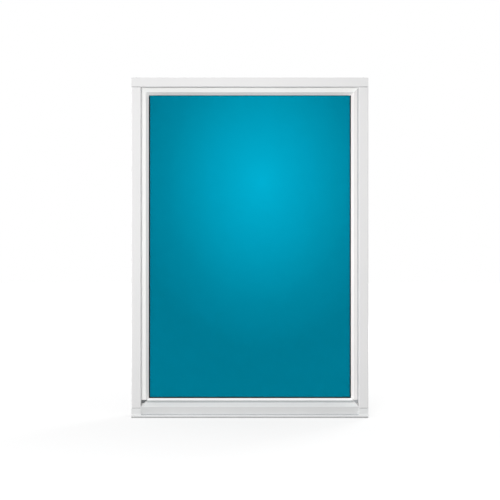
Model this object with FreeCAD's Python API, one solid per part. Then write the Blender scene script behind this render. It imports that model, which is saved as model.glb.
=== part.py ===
"""Fixed picture window: a square-cut frame with a sloped sill around a sealed double-glazed unit.

X runs to the right as seen from outdoors, Y from outdoors to indoors, Z up, in millimetres.
The origin is under the middle of the sill, at the centre of the window's depth.
A section is drawn in two distances: inward, from an outer edge towards the glass,
and back, from the frame's front face towards the room.
"""

import FreeCAD, Part
import math
import os

# Size of the whole frame
FRAME_WIDTH = 812.8
FRAME_HEIGHT = 1168.4

# Section of the head and jambs
FACE_WIDTH = 32.0
REVEAL_DEPTH = 20.0
STOP_WIDTH = 20.0
STOP_THICKNESS = 17.0
STOP_BEVEL = 5.0
WALL = 2.5
EDGE_ROUND = 2.5
ARRIS_ROUND = 1.2

# Groove that holds the glazing bead, and kerf for trim on the outer edge
GROOVE_WIDTH = 3.0
GROOVE_DEPTH = 4.0
GROOVE_SETBACK = 3.0
KERF_WIDTH = 3.0
KERF_DEPTH = 6.0

# Shallow notch that marks the joints at the jambs' ends
JOINT_WIDTH = 1.2
JOINT_DEPTH = 2.0

# Sloped sill with horns at its ends, and a channel between its nose and its lip
HORN_HEIGHT = 33.5
SILL_RISE = 7.0
SILL_UPSTAND = 12.5
SILL_SLOPE_DEGREES = 31.4
SILL_UNDERCUT = 8.0
NOSE_ROUND = 2.2
CHANNEL_TOP = 12.2
CHANNEL_FLOOR = 6.5
CHANNEL_BACK = 10.0
LIP_HEIGHT = 10.2
LIP_PROJECTION = 3.0
LIP_BEVEL = 5.0
LIP_ROUND = 1.2

# Glazing bead, the drip nose and trough of the bottom one, and the drain gap under the side ones
BEAD_STEP_WIDTH = 3.0
BEAD_STEP_DEPTH = 2.5
BEAD_FLAT = 12.0
BEAD_SLOPE_WIDTH = 9.0
BEAD_DEPTH = 13.5
BEAD_TIP = 1.6
DRIP_SLOPE_WIDTH = 6.2
TROUGH_FLOOR = 5.0
TROUGH_WALL = 2.0
DRAIN_GAP_HEIGHT = 20.0
BEAD_ROUND = 0.8
BEAD_GAP = 0.5
FOOT_SETBACK = 12.0
FOOT_CLEARANCE = 0.2

# Sealed double-glazed unit and what beds it
PANE_THICKNESS = 3.0
AIR_SPACE = 13.0
EDGE_CLEARANCE = 6.0
SPACER_INSET = 4.0
SPACER_HEIGHT = 7.0
GASKET_THICKNESS = 2.5
GASKET_COVER = 12.0
GASKET_LIP = 4.0
TOP_GASKET_LIP = 0.6
GASKET_LIP_EDGE = 0.5
TAPE_THICKNESS = 2.0
TAPE_SETBACK = 1.0
TAPE_WIDTH = 12.0
BLOCK_LENGTH = 100.0

# Holes for the screws that fix the jambs to the wall
SCREW_HOLE_DIAMETER = 5.5
SCREW_HOLE_FROM_END = 150.0

# Places along the depth, back from the frame's front face
bead_front = REVEAL_DEPTH
bead_back = bead_front + BEAD_DEPTH
outer_pane_front = bead_back + GASKET_THICKNESS
outer_pane_back = outer_pane_front + PANE_THICKNESS
inner_pane_front = outer_pane_back + AIR_SPACE
inner_pane_back = inner_pane_front + PANE_THICKNESS
stop_front = inner_pane_back + TAPE_THICKNESS
frame_depth = stop_front + STOP_THICKNESS
groove_front = bead_front + GROOVE_SETBACK
groove_back = groove_front + GROOVE_WIDTH
kerf_front = (groove_front + groove_back - KERF_WIDTH) / 2
kerf_back = kerf_front + KERF_WIDTH
web_front = min(groove_front, kerf_front) - WALL
web_back = max(groove_back, kerf_back) + WALL
front_y = (LIP_PROJECTION - frame_depth) / 2

# Pocket that the glass sits in, between the frame's inner faces
pocket_half_width = FRAME_WIDTH / 2 - FACE_WIDTH
pocket_bottom = FACE_WIDTH + SILL_RISE
pocket_top = FRAME_HEIGHT - FACE_WIDTH
pocket_half_height = (pocket_top - pocket_bottom) / 2
pocket_middle = (pocket_top + pocket_bottom) / 2
jamb_half_length = (pocket_top - HORN_HEIGHT) / 2
jamb_middle = (pocket_top + HORN_HEIGHT) / 2
bead_width = BEAD_STEP_WIDTH + BEAD_FLAT + BEAD_SLOPE_WIDTH


class Side:
    """One side of the frame: where its line runs, and which way is along it and inward from it."""

    def __init__(self, name, start, along, inward, half_length):
        self.name = name
        self.start = start
        self.along = along
        self.inward = inward
        self.half_length = half_length

    def point(self, along, inward, back):
        """Give the point in space at these distances from the middle of the side's line."""
        depth = FreeCAD.Vector(0, front_y + back, 0)
        return self.start + self.along * along + self.inward * inward + depth


right = FreeCAD.Vector(1, 0, 0)
up = FreeCAD.Vector(0, 0, 1)

# Sides whose line is the frame's outer edge
head_edge = Side("top", up * FRAME_HEIGHT, right, -up, FRAME_WIDTH / 2)
sill_edge = Side("bottom", up * 0, right, up, FRAME_WIDTH / 2)
jamb_edges = [
    Side("left", up * jamb_middle - right * (FRAME_WIDTH / 2), up, right, jamb_half_length),
    Side("right", up * jamb_middle + right * (FRAME_WIDTH / 2), up, -right, jamb_half_length),
]

# Sides whose line is the edge of the glass pocket
pocket_sides = {
    "top": Side("top", up * pocket_top, right, -up, pocket_half_width),
    "bottom": Side("bottom", up * pocket_bottom, right, up, pocket_half_width),
    "left": Side("left", up * pocket_middle - right * pocket_half_width, up, right, pocket_half_height),
    "right": Side("right", up * pocket_middle + right * pocket_half_width, up, -right, pocket_half_height),
}


def rounded_corner(before, corner, after, radius):
    """Give the start, middle and end of the arc that rounds a corner of an outline."""
    to_before = (before - corner).normalize()
    to_after = (after - corner).normalize()
    half_angle = to_before.getAngle(to_after) / 2
    reach = radius / math.tan(half_angle)
    bisector = (to_before + to_after).normalize()
    nearest = radius / math.sin(half_angle) - radius
    return corner + to_before * reach, corner + bisector * nearest, corner + to_after * reach


def outline(side, along, corners):
    """Make a closed wire at one place along a side from (inward, back) corners, some with a radius."""
    points = [side.point(along, corner[0], corner[1]) for corner in corners]
    radii = [corner[2] if len(corner) > 2 else 0 for corner in corners]
    stops = []
    for index, point in enumerate(points):
        if radii[index]:
            following = points[(index + 1) % len(points)]
            stops.append(rounded_corner(points[index - 1], point, following, radii[index]))
        else:
            stops.append((point,))
    edges = []
    for index, stop in enumerate(stops):
        if len(stop) == 3:
            edges.append(Part.Arc(*stop).toShape())
        following = stops[(index + 1) % len(stops)]
        edges.append(Part.LineSegment(stop[-1], following[0]).toShape())
    return Part.Wire(edges)


def bar(side, first, last, corners, chambers=()):
    """Extrude a section, hollow where it has chambers, from one place along a side to another."""
    wires = [outline(side, first, corners)]
    wires += [outline(side, first, chamber) for chamber in chambers]
    face = Part.makeFace(wires, "Part::FaceMakerBullseye")
    return face.extrude(side.along * (last - first))


def box_corners(inward_low, inward_high, back_low, back_high):
    """Give the corners of a rectangular section."""
    return [
        (inward_low, back_low),
        (inward_high, back_low),
        (inward_high, back_high),
        (inward_low, back_high),
    ]


def mitred(shape, side):
    """Cut both ends of a shape at 45 degrees, inward from the corners of the glass pocket."""
    reach = STOP_WIDTH + bead_width
    for end in (-1, 1):
        corner = side.half_length
        corners = [(corner, 0), (corner - reach, reach), (corner + reach, reach), (corner + reach, 0)]
        points = [side.point(end * along, inward, -LIP_PROJECTION) for along, inward in corners]
        wedge = Part.Face(Part.makePolygon(points + points[:1]))
        shape = shape.cut(wedge.extrude(FreeCAD.Vector(0, LIP_PROJECTION + frame_depth, 0)))
    return shape


def stop_corners(floor):
    """Give the inner stop's corners, from the pocket's floor round to the room side."""
    crest = floor + STOP_WIDTH
    return [
        (floor, stop_front),
        (crest, stop_front, ARRIS_ROUND),
        (crest, frame_depth - STOP_BEVEL, ARRIS_ROUND),
        (crest - STOP_BEVEL, frame_depth, ARRIS_ROUND),
    ]


def stop_chamber(floor):
    """Give the corners of the hollow inside the inner stop."""
    crest = floor + STOP_WIDTH - WALL
    bevel = STOP_BEVEL + WALL * math.sqrt(2) - 2 * WALL
    return [
        (floor, stop_front + WALL),
        (crest, stop_front + WALL),
        (crest, frame_depth - WALL - bevel),
        (crest - bevel, frame_depth - WALL),
        (floor, frame_depth - WALL),
    ]


def groove_corners(floor):
    """Give the corners of the groove that holds a bead's foot, from front to back."""
    return [
        (floor, groove_front),
        (floor - GROOVE_DEPTH, groove_front),
        (floor - GROOVE_DEPTH, groove_back),
        (floor, groove_back),
    ]


def member_corners():
    """Give the outline of the section that the head and the jambs share."""
    front = [(0, 0, EDGE_ROUND), (FACE_WIDTH, 0, ARRIS_ROUND)]
    back = [(0, frame_depth, EDGE_ROUND)]
    kerf = [(0, kerf_back), (KERF_DEPTH, kerf_back), (KERF_DEPTH, kerf_front), (0, kerf_front)]
    return front + groove_corners(FACE_WIDTH) + stop_corners(FACE_WIDTH) + back + kerf


def member_chambers():
    """Give the hollows of the section that the head and the jambs share."""
    low = WALL
    high = FACE_WIDTH - WALL
    return [
        box_corners(low, high, WALL, web_front),
        box_corners(low, high, web_back, stop_front),
        box_corners(low, high, stop_front + WALL, frame_depth - WALL),
        stop_chamber(FACE_WIDTH),
    ]


def make_head():
    """The head runs over both jambs, and its inner stop is mitred to theirs."""
    half = head_edge.half_length
    return mitred(bar(head_edge, -half, half, member_corners(), member_chambers()), pocket_sides["top"])


def make_jamb(edge):
    """A jamb stands on the sill's horn under the head, with holes for the wall screws."""
    half = edge.half_length
    jamb = mitred(bar(edge, -half, half, member_corners(), member_chambers()), pocket_sides[edge.name])
    for along in (SCREW_HOLE_FROM_END - half, half - SCREW_HOLE_FROM_END):
        mouth = edge.point(along, 0, REVEAL_DEPTH / 2)
        jamb = jamb.cut(Part.makeCylinder(SCREW_HOLE_DIAMETER / 2, FACE_WIDTH, mouth, edge.inward))
    notch = box_corners(0, FACE_WIDTH, 0, JOINT_DEPTH)
    for start in (-half, half - JOINT_WIDTH):
        jamb = jamb.cut(bar(edge, start, start + JOINT_WIDTH, notch))
    return jamb


def slope_height(back):
    """Height of the sloped sill at a distance back from the front face."""
    run = REVEAL_DEPTH - BEAD_GAP - back
    return pocket_bottom + SILL_UPSTAND - run * math.tan(math.radians(SILL_SLOPE_DEGREES))


def lip_corners():
    """Give the corners of the lip along the sill's lower front edge."""
    return [
        (0, LIP_BEVEL - LIP_PROJECTION),
        (LIP_BEVEL, -LIP_PROJECTION, LIP_ROUND),
        (LIP_HEIGHT, -LIP_PROJECTION, LIP_ROUND),
    ]


def sill_corners():
    """Give the outline of the sill between the jambs: lip, channel, nose, slope, pocket and stop."""
    slope_back = REVEAL_DEPTH - BEAD_GAP
    channel = [(CHANNEL_FLOOR, CHANNEL_BACK), (CHANNEL_TOP, CHANNEL_BACK)]
    nose = [(CHANNEL_TOP, SILL_UNDERCUT, LIP_ROUND), (slope_height(0), 0, NOSE_ROUND)]
    upstand = [(slope_height(slope_back), slope_back, ARRIS_ROUND), (pocket_bottom, slope_back)]
    pocket = groove_corners(pocket_bottom) + stop_corners(pocket_bottom)
    return lip_corners() + channel + nose + upstand + pocket + [(0, frame_depth, EDGE_ROUND)]


def sill_chambers():
    """Give the hollows of the sill between the jambs."""
    behind_channel = CHANNEL_BACK + WALL
    over_channel = CHANNEL_TOP + WALL
    behind_nose = 2 * WALL
    back = REVEAL_DEPTH - BEAD_GAP - WALL
    roof = WALL / math.cos(math.radians(SILL_SLOPE_DEGREES))
    under_slope = [
        (WALL, behind_channel),
        (WALL, back),
        (slope_height(back) - roof, back),
        (slope_height(behind_nose) - roof, behind_nose),
        (over_channel, SILL_UNDERCUT + WALL),
        (over_channel, behind_channel),
    ]
    groove_floor = pocket_bottom - GROOVE_DEPTH - WALL
    return [
        under_slope,
        box_corners(WALL, groove_floor, REVEAL_DEPTH, stop_front),
        box_corners(WALL, pocket_bottom - WALL, stop_front + WALL, frame_depth - WALL),
        stop_chamber(pocket_bottom),
    ]


def horn_corners():
    """Give the outline of the sill's ends, which carry the jambs."""
    top = [(LIP_HEIGHT, 0), (HORN_HEIGHT, 0, ARRIS_ROUND), (HORN_HEIGHT, frame_depth, EDGE_ROUND)]
    return lip_corners() + top + [(0, frame_depth, EDGE_ROUND)]


def horn_chambers():
    """Give the hollows that show at the sill's open ends."""
    low = WALL
    high = HORN_HEIGHT - WALL
    return [
        box_corners(low, high, CHANNEL_BACK + WALL, REVEAL_DEPTH - BEAD_GAP - WALL),
        box_corners(low, high, REVEAL_DEPTH, stop_front),
        box_corners(low, high, stop_front + WALL, frame_depth - WALL),
    ]


def make_sill():
    """The sill runs under both jambs: sloped between them, and square horns at its ends."""
    between = bar(sill_edge, -pocket_half_width, pocket_half_width, sill_corners(), sill_chambers())
    between = mitred(between, pocket_sides["bottom"])
    half = sill_edge.half_length
    horns = [
        bar(sill_edge, -half, -pocket_half_width, horn_corners(), horn_chambers()),
        bar(sill_edge, pocket_half_width, half, horn_corners(), horn_chambers()),
    ]
    return between.fuse(horns).removeSplitter()


def plain_bead_front():
    """Give the front of a bead with a step at its edge and a flat face, up to where its slope starts."""
    step_back = bead_front + BEAD_STEP_DEPTH
    return [
        (0, step_back),
        (BEAD_STEP_WIDTH, step_back),
        (BEAD_STEP_WIDTH, bead_front, BEAD_ROUND),
        (BEAD_STEP_WIDTH + BEAD_FLAT, bead_front, BEAD_ROUND),
    ]


def drip_bead_front():
    """Give the front of the bottom bead: a trough behind the sill's upstand, under a drip nose."""
    nose = bead_width - DRIP_SLOPE_WIDTH
    nose_front = bead_back - BEAD_TIP - DRIP_SLOPE_WIDTH
    trough_back = bead_back - TROUGH_WALL
    return [
        (0, bead_front),
        (TROUGH_FLOOR, bead_front),
        (TROUGH_FLOOR, trough_back),
        (nose - (trough_back - nose_front), trough_back),
        (nose, nose_front, BEAD_ROUND),
    ]


def drain_gap(side):
    """The gap at a side bead's lower end, which lets rain run from its corner onto the sill."""
    gap = box_corners(0, bead_width, bead_front, bead_back - TROUGH_WALL)
    return bar(side, -side.half_length, DRAIN_GAP_HEIGHT - side.half_length, gap)


def make_bead(side):
    """A glazing bead: its front, a slope down to the glass and a foot in its groove."""
    front = drip_bead_front() if side.name == "bottom" else plain_bead_front()
    section = front + [(bead_width, bead_back - BEAD_TIP), (bead_width, bead_back), (0, bead_back)]
    half = side.half_length
    bead = mitred(bar(side, -half, half, section), side)
    if side.name in ("left", "right"):
        bead = bead.cut(drain_gap(side))
    foot = box_corners(
        FOOT_CLEARANCE - GROOVE_DEPTH, 0, groove_front + FOOT_CLEARANCE, groove_back - FOOT_CLEARANCE
    )
    return bead.fuse(bar(side, FOOT_SETBACK - half, half - FOOT_SETBACK, foot)).removeSplitter()


def make_gasket(side):
    """A glazing gasket: bedded between bead and glass, with a thin lip that shows less at the top."""
    lip = bead_width + (TOP_GASKET_LIP if side.name == "top" else GASKET_LIP)
    section = [
        (bead_width - GASKET_COVER, bead_back),
        (bead_width, bead_back),
        (lip, outer_pane_front - GASKET_LIP_EDGE),
        (lip, outer_pane_front),
        (bead_width - GASKET_COVER, outer_pane_front),
    ]
    return mitred(bar(side, -side.half_length, side.half_length, section), side)


def make_spacer(side):
    """A spacer bar that holds the two panes apart, near their edge."""
    outer = EDGE_CLEARANCE + SPACER_INSET
    section = box_corners(outer, outer + SPACER_HEIGHT, outer_pane_back, inner_pane_front)
    return mitred(bar(side, -side.half_length, side.half_length, section), side)


def make_tape(side):
    """A strip of glazing tape between the inner pane and the stop."""
    inner = STOP_WIDTH - TAPE_SETBACK
    section = box_corners(inner - TAPE_WIDTH, inner, inner_pane_back, stop_front)
    return mitred(bar(side, -side.half_length, side.half_length, section), side)


def make_pane(front):
    """A pane of glass, clear of the pocket by the edge clearance all round."""
    half_width = pocket_half_width - EDGE_CLEARANCE
    glass_height = pocket_top - pocket_bottom - 2 * EDGE_CLEARANCE
    corner = FreeCAD.Vector(-half_width, front_y + front, pocket_bottom + EDGE_CLEARANCE)
    return Part.makeBox(2 * half_width, PANE_THICKNESS, glass_height, corner)


def make_setting_block(place):
    """A block on the pocket's floor that carries both panes at a quarter of their width."""
    section = box_corners(0, EDGE_CLEARANCE, outer_pane_front, inner_pane_back)
    centre = place * (pocket_half_width - EDGE_CLEARANCE) / 2
    return bar(pocket_sides["bottom"], centre - BLOCK_LENGTH / 2, centre + BLOCK_LENGTH / 2, section)


def make_parts():
    """Make every piece of the window by its name."""
    parts = {"head": make_head(), "sill": make_sill()}
    for edge in jamb_edges:
        parts[edge.name + "_jamb"] = make_jamb(edge)
    for name, side in pocket_sides.items():
        parts[name + "_glazing_bead"] = make_bead(side)
        parts[name + "_gasket"] = make_gasket(side)
        parts[name + "_spacer"] = make_spacer(side)
        parts[name + "_glazing_tape"] = make_tape(side)
    parts["outer_pane"] = make_pane(outer_pane_front)
    parts["inner_pane"] = make_pane(inner_pane_front)
    parts["left_setting_block"] = make_setting_block(-1)
    parts["right_setting_block"] = make_setting_block(1)
    return parts


os.makedirs("parts", exist_ok=True)
for part_name, part_shape in make_parts().items():
    part_shape.exportStep("parts/" + part_name + ".step")
    size = part_shape.BoundBox
    print(part_name, part_shape.isValid(), len(part_shape.Solids), round(part_shape.Volume),
          round(size.XLength, 1), round(size.YLength, 1), round(size.ZLength, 1))
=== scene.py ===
"""Looks of a fixed picture window: white vinyl frame, mitred beads, black gasket and blue-green glass.

The solids come packed in their true places; this script dresses each of them, adds the fin seals beside
the glazing beads, the seals and pads in the sill, the sealant in the frame's joints and the screws in
the head, and sets up a plain white studio with the camera straight on. The tones of the fin seals and
of the sill's seals and pads, the beads' differing whites and the outer pane's lighter middle are painted
light and shade. Places are in metres, and names that end in _mm are in millimetres.
"""

import logging
import math
from dataclasses import dataclass, field
from enum import Enum

import bmesh
import bpy
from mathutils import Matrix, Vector


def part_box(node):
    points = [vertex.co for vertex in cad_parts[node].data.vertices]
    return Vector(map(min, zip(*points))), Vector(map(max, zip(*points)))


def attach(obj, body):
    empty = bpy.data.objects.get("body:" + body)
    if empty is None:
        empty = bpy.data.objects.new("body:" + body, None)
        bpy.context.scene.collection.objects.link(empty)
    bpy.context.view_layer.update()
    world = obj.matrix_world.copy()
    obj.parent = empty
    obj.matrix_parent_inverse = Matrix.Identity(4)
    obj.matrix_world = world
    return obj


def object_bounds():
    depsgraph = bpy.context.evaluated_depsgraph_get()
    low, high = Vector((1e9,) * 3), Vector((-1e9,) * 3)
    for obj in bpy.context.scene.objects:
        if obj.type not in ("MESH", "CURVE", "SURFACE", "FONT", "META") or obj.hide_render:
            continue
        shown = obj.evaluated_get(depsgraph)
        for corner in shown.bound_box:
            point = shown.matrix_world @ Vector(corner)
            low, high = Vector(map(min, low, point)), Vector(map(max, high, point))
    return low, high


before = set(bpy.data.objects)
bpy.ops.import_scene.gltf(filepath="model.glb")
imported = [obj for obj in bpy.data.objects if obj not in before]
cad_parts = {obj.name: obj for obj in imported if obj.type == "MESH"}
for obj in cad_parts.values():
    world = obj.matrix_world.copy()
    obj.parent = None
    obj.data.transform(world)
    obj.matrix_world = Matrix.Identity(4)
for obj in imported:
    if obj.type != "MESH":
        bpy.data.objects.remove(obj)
CAD_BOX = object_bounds()
BODY = "root"
MM = 0.001
# The side beads stop this far above the foot of the pocket that they sit in, so that its corners drain.
DRAIN_GAP_MM = 20.0

log = logging.getLogger("picture_window")

Colour = tuple[float, float, float, float]


class Run(Enum):
    """The way an extruded length runs in the window, by the number of its axis."""

    ACROSS = 0
    UPRIGHT = 2


class Edge(Enum):
    """The four sides of the window, named as the solids are."""

    TOP = "top"
    BOTTOM = "bottom"
    LEFT = "left"
    RIGHT = "right"

    @property
    def run(self) -> Run:
        """The way a length along this side runs."""
        return Run.ACROSS if self in (Edge.TOP, Edge.BOTTOM) else Run.UPRIGHT


class Output(Enum):
    """The kinds of tree that show a shader, by the type of their output node."""

    MATERIAL = "ShaderNodeOutputMaterial"
    WORLD = "ShaderNodeOutputWorld"


def linear(code: str) -> Colour:
    """Turn an sRGB hex colour into linear values.

    Args:
        code: Six hex digits after a number sign, such as "#F0F0F0".

    Returns:
        The linear red, green and blue with an alpha of 1.
    """
    channels = [int(code[start:start + 2], 16) / 255 for start in (1, 3, 5)]
    red, green, blue = (c / 12.92 if c <= 0.04045 else ((c + 0.055) / 1.055) ** 2.4 for c in channels)
    return red, green, blue, 1.0


def per_metre(size_mm: float) -> float:
    """Give the texture scale at which one feature is this many millimetres wide."""
    return 1.0 / (size_mm * MM)


def add_node(tree: bpy.types.NodeTree, kind: str, settings: dict[str, object] | None = None,
             inputs: dict[str | int, object] | None = None) -> bpy.types.Node:
    """Add a node to a tree with its settings, socket values and links.

    Args:
        tree: The node tree that gets the node.
        kind: The node's type name.
        settings: Properties of the node by name.
        inputs: Input sockets by name or number; a value that is a socket is linked, any other is set.

    Returns:
        The new node.
    """
    node = tree.nodes.new(kind)
    for name, value in (settings or {}).items():
        setattr(node, name, value)
    for name, value in (inputs or {}).items():
        if isinstance(value, bpy.types.NodeSocket):
            tree.links.new(value, node.inputs[name])
        else:
            node.inputs[name].default_value = value
    return node


def new_material(name: str) -> tuple[bpy.types.Material, bpy.types.NodeTree]:
    """Make an empty node material.

    Args:
        name: The material's name.

    Returns:
        The material and its cleared node tree.
    """
    material = bpy.data.materials.new(name)
    material.use_nodes = True
    material.node_tree.nodes.clear()
    return material, material.node_tree


def show(tree: bpy.types.NodeTree, surface: bpy.types.NodeSocket,
         output: Output = Output.MATERIAL) -> None:
    """Send a shader to the output of its material or world."""
    add_node(tree, output.value, inputs={"Surface": surface})


def dress(piece: bpy.types.Object, material: bpy.types.Material) -> None:
    """Give a piece one material in place of any it has."""
    piece.data.materials.clear()
    piece.data.materials.append(material)


def prism(name: str, corners: list[Vector], sweep: Vector, material: bpy.types.Material) -> None:
    """Make a dressed piece from a flat outline swept straight, riding on the window.

    Args:
        name: The piece's name.
        corners: The outline's corners in order, in metres.
        sweep: The way and distance that the outline is swept.
        material: The piece's finish.
    """
    mesh = bpy.data.meshes.new(name)
    shape = bmesh.new()
    outline = shape.faces.new([shape.verts.new(corner) for corner in corners])
    swept = bmesh.ops.extrude_face_region(shape, geom=[outline], use_keep_orig=True)
    moved = [item for item in swept["geom"] if isinstance(item, bmesh.types.BMVert)]
    bmesh.ops.translate(shape, verts=moved, vec=sweep)
    bmesh.ops.recalc_face_normals(shape, faces=shape.faces)
    shape.to_mesh(mesh)
    shape.free()
    piece = bpy.data.objects.new(name, mesh)
    bpy.context.scene.collection.objects.link(piece)
    dress(piece, material)
    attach(piece, BODY)
    log.info("%s: %s", name, material.name)


@dataclass(frozen=True)
class ExtrudedVinyl:
    """White PVC as it leaves the extruder: satin, with faint lines along its run and a soft mottle."""

    name: str
    run: Run
    white: str = "#EAE9E9"
    mottle_white: str = "#E4E4E4"
    mottle_mm: float = 170.0
    mottle_detail: float = 3.0
    # Real die lines are about 0.2 mm apart; they are drawn coarser, because a pixel is 3.4 mm wide.
    line_pitch_mm: float = 2.4
    line_length_mm: float = 900.0
    line_height_mm: float = 0.012
    line_detail: float = 2.0
    # The real grain is too fine to see from here, so this one is drawn at 1.1 mm.
    grain_mm: float = 1.1
    grain_height_mm: float = 0.006
    grain_detail: float = 1.0
    gloss_patch_mm: float = 60.0
    roughness: tuple[float, float] = (0.34, 0.44)
    ior: float = 1.53

    def material(self) -> bpy.types.Material:
        """Build the material: lines and grain reach the light, mottle only the colour.

        Returns:
            The finished material.
        """
        # Satin white vinyl gives the eye an even, nearly neutral white with soft broad highlights.
        material, tree = new_material(self.name)
        place = add_node(tree, "ShaderNodeTexCoord").outputs["Object"]
        mottle = add_node(tree, "ShaderNodeTexNoise", inputs={
            "Vector": place, "Scale": per_metre(self.mottle_mm), "Detail": self.mottle_detail})
        colour = add_node(tree, "ShaderNodeMix", {"data_type": "RGBA"}, {
            "Factor": mottle.outputs["Fac"], "A": linear(self.white), "B": linear(self.mottle_white)})
        scales = [per_metre(self.line_pitch_mm)] * 3
        scales[self.run.value] = per_metre(self.line_length_mm)
        stretched = add_node(tree, "ShaderNodeMapping", inputs={"Vector": place, "Scale": scales})
        lines = add_node(tree, "ShaderNodeTexNoise", inputs={
            "Vector": stretched.outputs["Vector"], "Scale": 1.0, "Detail": self.line_detail})
        grain = add_node(tree, "ShaderNodeTexNoise", inputs={
            "Vector": place, "Scale": per_metre(self.grain_mm), "Detail": self.grain_detail})
        line_bump = add_node(tree, "ShaderNodeBump", inputs={
            "Height": lines.outputs["Fac"], "Distance": self.line_height_mm * MM})
        bump = add_node(tree, "ShaderNodeBump", inputs={
            "Height": grain.outputs["Fac"], "Distance": self.grain_height_mm * MM,
            "Normal": line_bump.outputs["Normal"]})
        patches = add_node(tree, "ShaderNodeTexNoise", inputs={
            "Vector": place, "Scale": per_metre(self.gloss_patch_mm)})
        low, high = self.roughness
        gloss = add_node(tree, "ShaderNodeMapRange", inputs={
            "Value": patches.outputs["Fac"], "To Min": low, "To Max": high})
        surface = add_node(tree, "ShaderNodeBsdfPrincipled", inputs={
            "Base Color": colour.outputs["Result"], "Roughness": gloss.outputs["Result"],
            "Normal": bump.outputs["Normal"], "IOR": self.ior})
        show(tree, surface.outputs["BSDF"])
        return material


@dataclass(frozen=True)
class MouldedRubber:
    """Rubber, foam or sealant: little shine, a bloom in patches a shade off its base, a fine pebble."""

    name: str
    base: str = "#050606"
    bloom: str = "#0C0D0E"
    bloom_mm: float = 25.0
    bloom_detail: float = 4.0
    # The real skin's pebble is about 0.1 mm; it is drawn at 0.9 mm to be seen close up at all.
    pebble_mm: float = 0.9
    pebble_height_mm: float = 0.02
    roughness: float = 0.62
    specular: float = 0.15

    def material(self) -> bpy.types.Material:
        """Build the material from its bloom and its pebble.

        Returns:
            The finished material.
        """
        # Matt rubber gives the eye a quiet, even line with hardly a glint, so its neighbours read sharp.
        material, tree = new_material(self.name)
        place = add_node(tree, "ShaderNodeTexCoord").outputs["Object"]
        bloom = add_node(tree, "ShaderNodeTexNoise", inputs={
            "Vector": place, "Scale": per_metre(self.bloom_mm), "Detail": self.bloom_detail})
        colour = add_node(tree, "ShaderNodeMix", {"data_type": "RGBA"}, {
            "Factor": bloom.outputs["Fac"], "A": linear(self.base), "B": linear(self.bloom)})
        pebble = add_node(tree, "ShaderNodeTexVoronoi", inputs={
            "Vector": place, "Scale": per_metre(self.pebble_mm)})
        bump = add_node(tree, "ShaderNodeBump", inputs={
            "Height": pebble.outputs["Distance"], "Distance": self.pebble_height_mm * MM})
        surface = add_node(tree, "ShaderNodeBsdfPrincipled", inputs={
            "Base Color": colour.outputs["Result"], "Roughness": self.roughness,
            "Specular IOR Level": self.specular, "Normal": bump.outputs["Normal"]})
        show(tree, surface.outputs["BSDF"])
        return material


@dataclass(frozen=True)
class TintedGlass:
    """Blue-green body-tinted float glass, see-through, with painted light above the pane's middle."""

    name: str
    painted_light_centre: Vector
    painted_light_half_width_mm: float = 495.0
    painted_light_half_height_mm: float = 625.0
    # The tint runs from painted shade at the pane's edges to painted light near its centre.
    stops: tuple[tuple[float, str], ...] = (
        (0.06, "#007D98"), (0.32, "#008AA7"), (0.63, "#00A0C1"), (1.0, "#01B5D8"))
    coat: str = "#065866"
    ior: float = 1.5

    def material(self) -> bpy.types.Material:
        """Build the material: distance from the painted light picks the tint that light takes on its way
        through.

        Returns:
            The finished material.
        """
        # A coat against reflection keeps the front dark, so the eye gets the deep tint and not the room.
        material, tree = new_material(self.name)
        place = add_node(tree, "ShaderNodeTexCoord").outputs["Object"]
        scale = Vector((per_metre(self.painted_light_half_width_mm), 0.0, per_metre(self.painted_light_half_height_mm)))
        spread = add_node(tree, "ShaderNodeMapping", inputs={
            "Vector": place, "Scale": scale, "Location": -self.painted_light_centre * scale})
        # This spherical gradient is the painted light, brightest at its centre.
        bloom = add_node(tree, "ShaderNodeTexGradient", {"gradient_type": "SPHERICAL"}, {
            "Vector": spread.outputs["Vector"]})
        tint = add_node(tree, "ShaderNodeValToRGB", inputs={"Fac": bloom.outputs["Fac"]})
        ramp = tint.color_ramp.elements
        for position, _ in self.stops[len(ramp):]:
            ramp.new(position)
        for element, (position, code) in zip(ramp, self.stops):
            element.position = position
            element.color = linear(code)
        surface = add_node(tree, "ShaderNodeBsdfPrincipled", inputs={
            "Base Color": tint.outputs["Color"], "Roughness": 0.0, "Transmission Weight": 1.0,
            "IOR": self.ior, "Specular Tint": linear(self.coat)})
        show(tree, surface.outputs["BSDF"])
        return material


@dataclass(frozen=True)
class ClearGlass:
    """Clear float glass with a trace of green that drifts across the pane."""

    name: str
    green: str = "#FAFDFC"
    edge_green: str = "#F3FBF8"
    drift_mm: float = 300.0
    ior: float = 1.5

    def material(self) -> bpy.types.Material:
        """Build the material with its drifting trace of green.

        Returns:
            The finished material.
        """
        # Clear glass gives the eye almost nothing but a faint second reflection behind the tint.
        material, tree = new_material(self.name)
        place = add_node(tree, "ShaderNodeTexCoord").outputs["Object"]
        drift = add_node(tree, "ShaderNodeTexNoise", inputs={
            "Vector": place, "Scale": per_metre(self.drift_mm)})
        tint = add_node(tree, "ShaderNodeMix", {"data_type": "RGBA"}, {
            "Factor": drift.outputs["Fac"], "A": linear(self.green), "B": linear(self.edge_green)})
        surface = add_node(tree, "ShaderNodeBsdfPrincipled", inputs={
            "Base Color": tint.outputs["Result"], "Roughness": 0.0, "Transmission Weight": 1.0,
            "IOR": self.ior})
        show(tree, surface.outputs["BSDF"])
        return material


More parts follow.
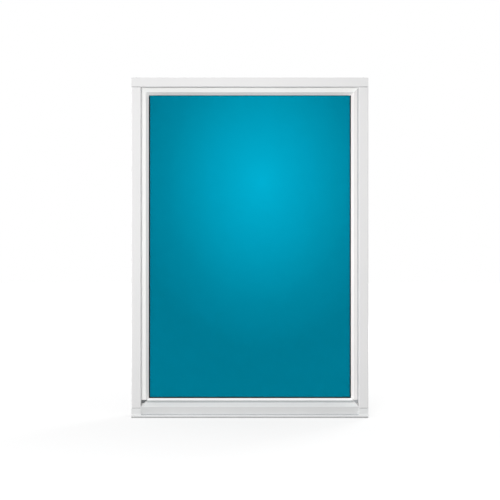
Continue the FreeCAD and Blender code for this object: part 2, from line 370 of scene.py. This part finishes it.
@dataclass(frozen=True)
class RolledMetal:
    """Bright metal, bare or plated: satin, with rolling lines along its run."""

    name: str
    run: Run
    bright: str = "#C3C6C9"
    dull: str = "#A9ADB1"
    # Real rolling lines are a few hundredths of a millimetre apart; 0.8 mm is the finest that shows.
    line_pitch_mm: float = 0.8
    line_length_mm: float = 120.0
    line_height_mm: float = 0.008
    line_detail: float = 3.0
    roughness: float = 0.34

    def material(self) -> bpy.types.Material:
        """Build the material from its rolling lines.

        Returns:
            The finished material.
        """
        # Satin metal gives the eye a grey whose highlight is drawn out across the lines.
        material, tree = new_material(self.name)
        place = add_node(tree, "ShaderNodeTexCoord").outputs["Object"]
        scales = [per_metre(self.line_pitch_mm)] * 3
        scales[self.run.value] = per_metre(self.line_length_mm)
        stretched = add_node(tree, "ShaderNodeMapping", inputs={"Vector": place, "Scale": scales})
        lines = add_node(tree, "ShaderNodeTexNoise", inputs={
            "Vector": stretched.outputs["Vector"], "Scale": 1.0, "Detail": self.line_detail})
        colour = add_node(tree, "ShaderNodeMix", {"data_type": "RGBA"}, {
            "Factor": lines.outputs["Fac"], "A": linear(self.bright), "B": linear(self.dull)})
        bump = add_node(tree, "ShaderNodeBump", inputs={
            "Height": lines.outputs["Fac"], "Distance": self.line_height_mm * MM})
        surface = add_node(tree, "ShaderNodeBsdfPrincipled", inputs={
            "Base Color": colour.outputs["Result"], "Metallic": 1.0, "Roughness": self.roughness,
            "Normal": bump.outputs["Normal"]})
        show(tree, surface.outputs["BSDF"])
        return material


@dataclass
class FrameMembers:
    """The head, the sill and the two jambs, with the sealant in the joints at the jambs' ends.

    The sill is another section than the head and the jambs, and its white is a little cooler.
    """

    finishes: dict[str, ExtrudedVinyl] = field(default_factory=lambda: {
        "head": ExtrudedVinyl("head_vinyl", Run.ACROSS),
        "sill": ExtrudedVinyl("sill_vinyl", Run.ACROSS, "#E9EAEA", "#E4E5E5"),
        "left_jamb": ExtrudedVinyl("left_jamb_vinyl", Run.UPRIGHT),
        "right_jamb": ExtrudedVinyl("right_jamb_vinyl", Run.UPRIGHT)})
    sealant: MouldedRubber = MouldedRubber("grey_silicone_sealant", "#6A6B6C", "#767778", roughness=0.5)
    face_mm: float = 32.0
    outer_round_mm: float = 2.5
    inner_round_mm: float = 1.2
    joint_width_mm: float = 1.2
    joint_depth_mm: float = 2.0
    sealant_edge_mm: float = 0.3
    sealant_hollow_mm: float = 0.8

    def dress(self) -> None:
        """Give each member white vinyl with lines along its own run."""
        for name, finish in self.finishes.items():
            dress(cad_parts[name], finish.material())
            log.info("%s: %s", name, finish.name)

    def seal_joints(self) -> None:
        """Fill the notch at each end of each jamb with a line of tooled sealant."""
        grey = self.sealant.material()
        outer, inner = self.outer_round_mm * MM, (self.face_mm - self.inner_round_mm) * MM
        width, depth = self.joint_width_mm * MM, self.joint_depth_mm * MM
        rim, hollow = self.sealant_edge_mm * MM, self.sealant_hollow_mm * MM
        outline = ((0.0, rim), (width / 2, hollow), (width, rim), (width, depth), (0.0, depth))
        for edge in (Edge.LEFT, Edge.RIGHT):
            low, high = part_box(f"{edge.value}_jamb")
            first, last = low.x + outer, low.x + inner
            if edge is Edge.RIGHT:
                first, last = high.x - inner, high.x - outer
            for end, bottom in (("foot", low.z), ("top", high.z - width)):
                section = [Vector((first, low.y + back, bottom + up)) for up, back in outline]
                prism(f"{edge.value}_{end}_sealant", section, Vector((last - first, 0, 0)), grey)


@dataclass
class GlazingRing:
    """What holds the glass on each side: the bead, its gasket, the tape behind and the spacer bar.

    Each side's bead has its own white, as painted light and shade: the left, top and bottom ones are
    lighter than the frame's white and the right one is darker.
    """

    # Painted light on the left, top and bottom beads and painted shade on the right one.
    beads: dict[Edge, tuple[str, str]] = field(default_factory=lambda: {
        Edge.TOP: ("#FAF9F8", "#F6F6F4"), Edge.BOTTOM: ("#FBFBFA", "#F7F8F8"),
        Edge.LEFT: ("#FCFBFA", "#F8F8F6"), Edge.RIGHT: ("#E3E1E0", "#DFDDDC")})
    bead_roughness: tuple[float, float] = (0.30, 0.37)
    gasket: MouldedRubber = MouldedRubber("gasket_rubber")
    tape: MouldedRubber = MouldedRubber("glazing_tape_foam", "#121416", "#1C1F22", roughness=0.85)
    # The left fin's near-white is painted light and the right fin's grey is painted shade, in the step
    # beside each bead.
    lit_and_shaded_fins: dict[Edge, MouldedRubber] = field(default_factory=lambda: {
        Edge.LEFT: MouldedRubber("left_fin_painted_light", "#FBFBFA", "#F7F8F8", roughness=0.4, specular=0.5),
        Edge.RIGHT: MouldedRubber("right_fin_painted_shade", "#BCBFC1", "#C6C9CB", specular=0.3)})
    foot_mm: float = 3.8
    step_width_mm: float = 3.0
    step_depth_mm: float = 2.5
    fin_height_mm: float = 2.2
    fin_taper_mm: float = 0.4
    fin_gap_mm: float = 0.2

    def dress(self) -> None:
        """Give each strip of the ring its finish."""
        gasket, tape = self.gasket.material(), self.tape.material()
        metal = {run: RolledMetal(f"spacer_aluminium_{run.name.lower()}", run).material() for run in Run}
        for edge, (white, mottle_white) in self.beads.items():
            vinyl = ExtrudedVinyl(f"{edge.value}_bead_vinyl", edge.run, white, mottle_white,
                                  roughness=self.bead_roughness)
            finishes = {"glazing_bead": vinyl.material(), "gasket": gasket,
                        "glazing_tape": tape, "spacer": metal[edge.run]}
            for strip, material in finishes.items():
                name = f"{edge.value}_{strip}"
                dress(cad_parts[name], material)
                log.info("%s: %s", name, material.name)

    def add_fins(self) -> None:
        """Lay a soft fin seal in the step along each side bead, from its drain gap to the top bead."""
        gap, taper = self.fin_gap_mm * MM, self.fin_taper_mm * MM
        width, height = self.step_width_mm * MM - gap, self.fin_height_mm * MM
        outline = ((gap, 0.0), (width, 0.0), (width - taper, height), (gap + taper, height))
        foot = self.foot_mm * MM
        for edge, rubber in self.lit_and_shaded_fins.items():
            low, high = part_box(f"{edge.value}_glazing_bead")
            wall, side = (low.x + foot, 1) if edge is Edge.LEFT else (high.x - foot, -1)
            floor = low.y + self.step_depth_mm * MM
            bottom, top = low.z + DRAIN_GAP_MM * MM, high.z - self.step_width_mm * MM
            section = [Vector((wall + side * inward, floor - up, bottom)) for inward, up in outline]
            sweep = Vector((0, 0, top - bottom))
            prism(f"{edge.value}_fin_seal", section, sweep, rubber.material())


@dataclass
class SillSeals:
    """The soft pieces in the sill: a bulb seal, two corner pads and a strip in the drip channel."""

    # The greys of the bulb seal, the strip and the pads are painted shade; the left pad is darker than the
    # right.
    bulb: MouldedRubber = MouldedRubber("bulb_seal_painted_shade", "#BFC2C4", "#C8CBCC", specular=0.3)
    strip: MouldedRubber = MouldedRubber("channel_strip_painted_shade", "#BCBFC1", "#C4C7C9", specular=0.3)
    pads: dict[Edge, MouldedRubber] = field(default_factory=lambda: {
        Edge.LEFT: MouldedRubber("left_pad_painted_shade", "#6C6F71", "#75787A", roughness=0.9),
        Edge.RIGHT: MouldedRubber("right_pad_painted_shade", "#A7AAAC", "#B0B3B5", roughness=0.9)})
    bead_width_mm: float = 24.0
    bead_tip_mm: float = 1.6
    drip_slope_mm: float = 6.2
    trough_floor_mm: float = 5.0
    trough_wall_mm: float = 2.0
    clearance_mm: float = 0.3
    mitre_clearance_mm: float = 0.9
    bulb_radius_mm: float = 2.1
    bulb_drop_mm: float = 3.5
    bulb_points: int = 20
    stem_half_mm: float = 0.8
    pad_front_mm: float = 8.5
    pad_height_mm: float = 11.0
    channel_low_mm: float = 6.7
    channel_high_mm: float = 12.0
    strip_front_mm: float = 8.4
    strip_back_mm: float = 9.9

    def build(self) -> None:
        """Make the seals and set them in the sill."""
        self.bulb_seal()
        self.channel_strip()
        self.corner_pads()

    def bulb_seal(self) -> None:
        """Stand a bulb seal on the trough's floor, under the bottom bead's drip nose."""
        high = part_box("bottom_glazing_bead")[1]
        nose = high.y - (self.bead_tip_mm + self.drip_slope_mm) * MM
        centre_z = high.z - (self.drip_slope_mm + self.bulb_drop_mm) * MM
        floor_z = high.z - (self.bead_width_mm - self.trough_floor_mm) * MM
        reach = high.x - DRAIN_GAP_MM * MM
        radius, stem = self.bulb_radius_mm * MM, self.stem_half_mm * MM
        half_gap = math.asin(stem / radius)
        section = [Vector((-reach, nose + side * stem, floor_z)) for side in (1, -1)]
        for step in range(self.bulb_points + 1):
            turn = half_gap + (2 * math.pi - 2 * half_gap) * step / self.bulb_points
            back, up = nose - math.sin(turn) * radius, centre_z - math.cos(turn) * radius
            section.append(Vector((-reach, back, up)))
        # The bulb seal's grey is painted shade under the drip nose.
        prism("sill_bulb_seal_painted_shade", section, Vector((2 * reach, 0, 0)), self.bulb.material())

    def channel_strip(self) -> None:
        """Line the back of the channel between the sill's nose and its lip."""
        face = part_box("head")[0].y
        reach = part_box("bottom_glazing_bead")[1].x - self.clearance_mm * MM
        near, far = self.strip_front_mm, self.strip_back_mm
        bottom, top = self.channel_low_mm, self.channel_high_mm
        corners = ((near, bottom), (far, bottom), (far, top), (near, top))
        section = [Vector((-reach, face + back * MM, up * MM)) for back, up in corners]
        # The strip's grey is painted shade at the back of the channel.
        prism("sill_channel_strip_painted_shade", section, Vector((2 * reach, 0, 0)), self.strip.material())

    def corner_pads(self) -> None:
        """Set a foam pad, cut to the mitre, in the top of the drain gap under each side bead."""
        low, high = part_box("bottom_glazing_bead")
        bottom = high.z - self.bead_width_mm * MM
        clear = self.clearance_mm * MM
        size = DRAIN_GAP_MM * MM - clear
        tip = size - self.mitre_clearance_mm * MM
        height = self.pad_height_mm * MM
        front = high.y - self.pad_front_mm * MM
        back = high.y - self.trough_wall_mm * MM - clear
        outline = ((clear, size - height), (clear, size), (tip, size), (tip - height, size - height))
        # Each pad's grey is painted shade in its corner, darker on the left where less light falls.
        for edge, foam in self.pads.items():
            pocket, side = (low.x, 1) if edge is Edge.LEFT else (high.x, -1)
            corners = [Vector((pocket + side * inward, front, bottom + up)) for inward, up in outline]
            prism(f"{edge.value}_corner_pad", corners, Vector((0, back - front, 0)), foam.material())


@dataclass
class HeadScrews:
    """The screws that hold the jambs, driven down through the head at both its ends."""

    steel: RolledMetal = RolledMetal("zinc_plated_steel", Run.ACROSS)
    from_end_mm: float = 16.0
    backs_mm: tuple[float, ...] = (10.0, 41.0, 63.0)
    head_radius_mm: float = 4.2
    top_radius_mm: float = 2.6
    head_height_mm: float = 1.6
    recess_mm: tuple[float, float, float] = (3.6, 0.9, 1.4)
    seat_mm: float = 0.05
    rim_points: int = 24
    seed: int = 5

    def tree(self) -> tuple[bpy.types.NodeTree, dict[str, str]]:
        """Build the node tree that puts a cross-recessed screw head on each point, turned at random.

        Returns:
            The tree, and the identifiers of its inputs by name.
        """
        tree = bpy.data.node_groups.new("screw_heads", "GeometryNodeTree")
        kinds = {"Geometry": "Geometry", "Head Radius": "Float", "Top Radius": "Float",
                 "Head Height": "Float", "Recess": "Vector", "Seed": "Int", "Finish": "Material"}
        keys = {}
        for name, kind in kinds.items():
            socket = tree.interface.new_socket(name, in_out="INPUT", socket_type=f"NodeSocket{kind}")
            keys[name] = socket.identifier
        tree.interface.new_socket("Geometry", in_out="OUTPUT", socket_type="NodeSocketGeometry")
        given = add_node(tree, "NodeGroupInput").outputs
        dome = add_node(tree, "GeometryNodeMeshCone", inputs={
            "Vertices": self.rim_points, "Radius Top": given["Top Radius"],
            "Radius Bottom": given["Head Radius"], "Depth": given["Head Height"]})
        top = add_node(tree, "ShaderNodeCombineXYZ", inputs={"Z": given["Head Height"]})
        blade = add_node(tree, "GeometryNodeMeshCube", inputs={"Size": given["Recess"]})
        blades = [
            add_node(tree, "GeometryNodeTransform", inputs={
                "Geometry": blade.outputs["Mesh"], "Translation": top.outputs["Vector"],
                "Rotation": (0, 0, angle)})
            for angle in (0.0, math.pi / 2)]
        # The exact solver merges the blades where they cross, so the recess has one floor.
        head = add_node(tree, "GeometryNodeMeshBoolean", {
            "operation": "DIFFERENCE", "solver": "EXACT"}, {"Mesh 1": dome.outputs["Mesh"]})
        for part in blades:
            tree.links.new(part.outputs["Geometry"], head.inputs["Mesh 2"])
        turn = add_node(tree, "FunctionNodeRandomValue", {"data_type": "FLOAT_VECTOR"}, {
            "Min": (0, 0, 0), "Max": (0, 0, 2 * math.pi), "Seed": given["Seed"]})
        facing = add_node(tree, "FunctionNodeEulerToRotation", inputs={"Euler": turn.outputs["Value"]})
        heads = add_node(tree, "GeometryNodeInstanceOnPoints", inputs={
            "Points": given["Geometry"], "Instance": head.outputs["Mesh"],
            "Rotation": facing.outputs["Rotation"]})
        real = add_node(tree, "GeometryNodeRealizeInstances", inputs={
            "Geometry": heads.outputs["Instances"]})
        finished = add_node(tree, "GeometryNodeSetMaterial", inputs={
            "Geometry": real.outputs["Geometry"], "Material": given["Finish"]})
        add_node(tree, "NodeGroupOutput", inputs={"Geometry": finished.outputs["Geometry"]})
        return tree, keys

    def build(self) -> None:
        """Set a screw head at each place and keep the result as a plain mesh."""
        low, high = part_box("head")
        end = self.from_end_mm * MM
        seat = high.z - self.seat_mm * MM
        ends = (low.x + end, high.x - end)
        places = [(x, low.y + back * MM, seat) for x in ends for back in self.backs_mm]
        mesh = bpy.data.meshes.new("screw_places")
        mesh.from_pydata(places, [], [])
        screws = bpy.data.objects.new("head_screws", mesh)
        bpy.context.scene.collection.objects.link(screws)
        tree, keys = self.tree()
        values = {
            "Head Radius": self.head_radius_mm * MM, "Top Radius": self.top_radius_mm * MM,
            "Head Height": self.head_height_mm * MM, "Recess": [side * MM for side in self.recess_mm],
            "Seed": self.seed, "Finish": self.steel.material()}
        modifier = screws.modifiers.new("screw_heads", "NODES")
        modifier.node_group = tree
        for name, value in values.items():
            modifier[keys[name]] = value
        shown = screws.evaluated_get(bpy.context.evaluated_depsgraph_get())
        plain = bpy.data.meshes.new_from_object(shown)
        screws.modifiers.clear()
        screws.data = plain
        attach(screws, BODY)
        log.info("head_screws: %d screw heads", len(places))


@dataclass
class GlassUnit:
    """The two panes and the blocks that carry them."""

    block_rubber: MouldedRubber = MouldedRubber("setting_block_rubber", "#1B1D1F", "#26292C")
    # Where the outer pane's painted light is centred.
    painted_light_right_of_centre: float = 0.040
    painted_light_above_sill_base: float = 0.815

    def dress(self) -> None:
        """Tint the outer pane, keep the inner one clear and give the blocks their rubber."""
        centre = Vector((self.painted_light_right_of_centre, 0.0, self.painted_light_above_sill_base))
        rubber = self.block_rubber.material()
        finishes = {
            "outer_pane": TintedGlass("tinted_float_glass", centre).material(),
            "inner_pane": ClearGlass("clear_float_glass").material(),
            "left_setting_block": rubber, "right_setting_block": rubber}
        for name, material in finishes.items():
            dress(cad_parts[name], material)
            log.info("%s: %s", name, material.name)


@dataclass(frozen=True)
class Lamp:
    """A soft lamp that faces the middle of the window; a glint is its mirror image in gloss."""

    name: str
    place: tuple[float, float, float]
    size: tuple[float, float]
    power: float
    glint: bool = False

    def hang(self) -> None:
        """Hang the lamp out of the camera's sight."""
        light = bpy.data.lights.new(self.name, "AREA")
        light.shape = "RECTANGLE"
        light.size, light.size_y = self.size
        light.energy = self.power
        lamp = bpy.data.objects.new(self.name, light)
        low, high = CAD_BOX
        lamp.location = self.place
        lamp.rotation_euler = ((low + high) / 2 - lamp.location).to_track_quat("-Z", "Y").to_euler()
        lamp.visible_camera = False
        lamp.visible_glossy = self.glint
        lamp.visible_transmission = self.glint
        bpy.context.scene.collection.objects.link(lamp)


@dataclass
class Studio:
    """A white studio: floor, surroundings, lamps and the camera straight in front of the window.

    The front lamp hangs left of the camera, the far one rakes across the face, and the others soften the
    back and the top.
    """

    pixels: int = 500
    metres_per_pixel: float = 0.00343
    window_centre_pixel: tuple[float, float] = (249.9, 247.75)
    distance: float = 3.0
    sensor_mm: float = 36.0
    floor_half: float = 12.0
    floor_drop: float = 0.0003
    floor_shade: str = "#808080"
    near_glow: float = 0.76
    far_glow: float = 0.93
    glow_reach: float = 3.0
    ambient: float = 0.53
    lamps: tuple[Lamp, ...] = (
        Lamp("front_lamp", (-0.4, -2.6, 0.94), (0.45, 0.45), 40.0),
        Lamp("far_left_lamp", (-14.0, -1.16, 0.6), (1.1, 1.1), 970.0, glint=True),
        Lamp("back_lamp", (2.4, 2.8, 1.6), (1.5, 1.5), 97.0),
        Lamp("top_lamp", (-0.3, -0.8, 4.2), (1.5, 1.5), 16.0))

    def white_rays(self, tree: bpy.types.NodeTree, names: tuple[str, ...]) -> bpy.types.NodeSocket:
        """Give a socket that is 1 for the rays named and 0 for others.

        Args:
            tree: The tree that gets the nodes.
            names: Outputs of the light path node.

        Returns:
            The socket with the larger of the outputs.
        """
        path = add_node(tree, "ShaderNodeLightPath")
        socket = path.outputs[names[0]]
        for name in names[1:]:
            larger = add_node(tree, "ShaderNodeMath", {"operation": "MAXIMUM"}, {
                0: socket, 1: path.outputs[name]})
            socket = larger.outputs["Value"]
        return socket

    def surround(self) -> None:
        """Light the window dimly from all round, with white for the camera, in gloss and through glass."""
        world = bpy.data.worlds.new("studio_surround")
        bpy.context.scene.world = world
        world.use_nodes = True
        tree = world.node_tree
        tree.nodes.clear()
        rays = self.white_rays(tree, ("Is Camera Ray", "Is Glossy Ray", "Is Transmission Ray"))
        strength = add_node(tree, "ShaderNodeMapRange", inputs={
            "Value": rays, "To Min": self.ambient, "To Max": 1.0})
        white = add_node(tree, "ShaderNodeBackground", inputs={
            "Color": linear("#FFFFFF"), "Strength": strength.outputs["Result"]})
        show(tree, white.outputs["Background"], Output.WORLD)

    def paper(self) -> bpy.types.Material:
        """Build the floor's paper, which the camera sees as white with the window's soft shadow.

        It glows less near the window, where the shadow falls, than far off, where less light reaches it.

        Returns:
            The finished material.
        """
        material, tree = new_material("studio_floor_paper")
        shade = add_node(tree, "ShaderNodeBsdfDiffuse", inputs={"Color": linear(self.floor_shade)})
        white = add_node(tree, "ShaderNodeEmission", inputs={"Strength": 1.0})
        place = add_node(tree, "ShaderNodeTexCoord").outputs["Object"]
        spread = add_node(tree, "ShaderNodeMapping", inputs={
            "Vector": place, "Scale": [1.0 / self.glow_reach] * 3})
        nearness = add_node(tree, "ShaderNodeTexGradient", {"gradient_type": "SPHERICAL"}, {
            "Vector": spread.outputs["Vector"]})
        strength = add_node(tree, "ShaderNodeMapRange", inputs={
            "Value": nearness.outputs["Fac"], "To Min": self.far_glow, "To Max": self.near_glow})
        glow = add_node(tree, "ShaderNodeEmission", inputs={"Strength": strength.outputs["Result"]})
        seen = add_node(tree, "ShaderNodeAddShader", inputs={
            0: shade.outputs["BSDF"], 1: glow.outputs["Emission"]})
        lit = add_node(tree, "ShaderNodeMixShader", inputs={
            "Fac": self.white_rays(tree, ("Is Camera Ray",)),
            1: shade.outputs["BSDF"], 2: seen.outputs["Shader"]})
        through = add_node(tree, "ShaderNodeMixShader", inputs={
            "Fac": self.white_rays(tree, ("Is Glossy Ray", "Is Transmission Ray")),
            1: lit.outputs["Shader"], 2: white.outputs["Emission"]})
        show(tree, through.outputs["Shader"])
        return material

    def floor(self) -> None:
        """Lay a wide floor of pale paper just under the window."""
        half = self.floor_half
        mesh = bpy.data.meshes.new("studio_floor")
        corners = [(-half, -half), (half, -half), (half, half), (-half, half)]
        mesh.from_pydata([(x, y, -self.floor_drop) for x, y in corners], [], [(0, 1, 2, 3)])
        floor = bpy.data.objects.new("studio_floor", mesh)
        bpy.context.scene.collection.objects.link(floor)
        dress(floor, self.paper())

    def camera(self) -> None:
        """Stand the camera level and straight in front of the frame's face, as in the photograph."""
        low, high = CAD_BOX
        middle = (low + high) / 2
        right, down = (pixel - self.pixels / 2 for pixel in self.window_centre_pixel)
        data = bpy.data.cameras.new("camera")
        data.sensor_width = self.sensor_mm
        data.lens = self.sensor_mm * self.distance / (self.pixels * self.metres_per_pixel)
        camera = bpy.data.objects.new("camera", data)
        camera.location = (
            middle.x - right * self.metres_per_pixel,
            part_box("head")[0].y - self.distance,
            middle.z + down * self.metres_per_pixel,
        )
        camera.rotation_euler = (math.radians(90), 0, 0)
        bpy.context.scene.collection.objects.link(camera)
        bpy.context.scene.camera = camera

    def build(self) -> None:
        """Set up the whole studio."""
        self.surround()
        self.floor()
        for lamp in self.lamps:
            lamp.hang()
        self.camera()
        bpy.context.scene.view_settings.view_transform = "Standard"


def main() -> None:
    """Dress the window's sub-assemblies in order and set up the studio."""
    logging.basicConfig(level=logging.INFO)
    members = FrameMembers()
    members.dress()
    members.seal_joints()
    ring = GlazingRing()
    ring.dress()
    ring.add_fins()
    SillSeals().build()
    HeadScrews().build()
    GlassUnit().dress()
    Studio().build()


if __name__ == "__main__":
    main()
